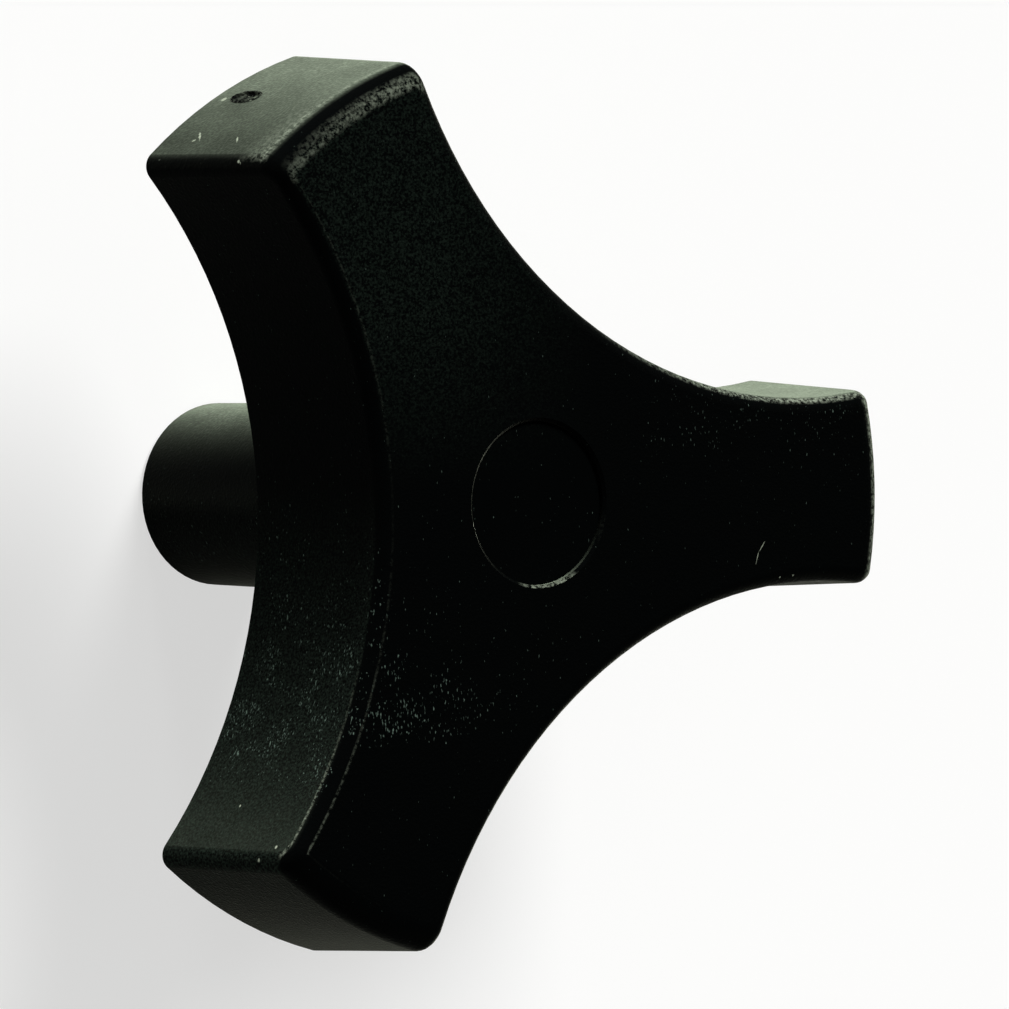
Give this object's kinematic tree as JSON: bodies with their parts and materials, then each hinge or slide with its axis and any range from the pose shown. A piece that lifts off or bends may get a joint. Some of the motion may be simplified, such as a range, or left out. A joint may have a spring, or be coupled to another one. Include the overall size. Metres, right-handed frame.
{
  "type": "three-lobe knob",
  "caption": "Hand knob with rounded lobes around a concave-sided head and a long round hub with a threaded metal insert in its end, for tightening a clamp by hand.",
  "frame": {"origin": "centre of the hub's end face, at the mouth of the threaded hole", "axes": "+Z along the knob's axis from the hub's end towards the face, +X towards one lobe"},
  "size_m": [0.0663, 0.0752, 0.0483],
  "materials": {
    "textured_plastic": "black glass-filled nylon, fine spark-eroded texture",
    "insert_brass": "turned from hexagonal bar"
  },
  "bodies": {
    "root": {"knob_body": "textured_plastic", "threaded_insert": "insert_brass"}
  },
  "joints": []
}
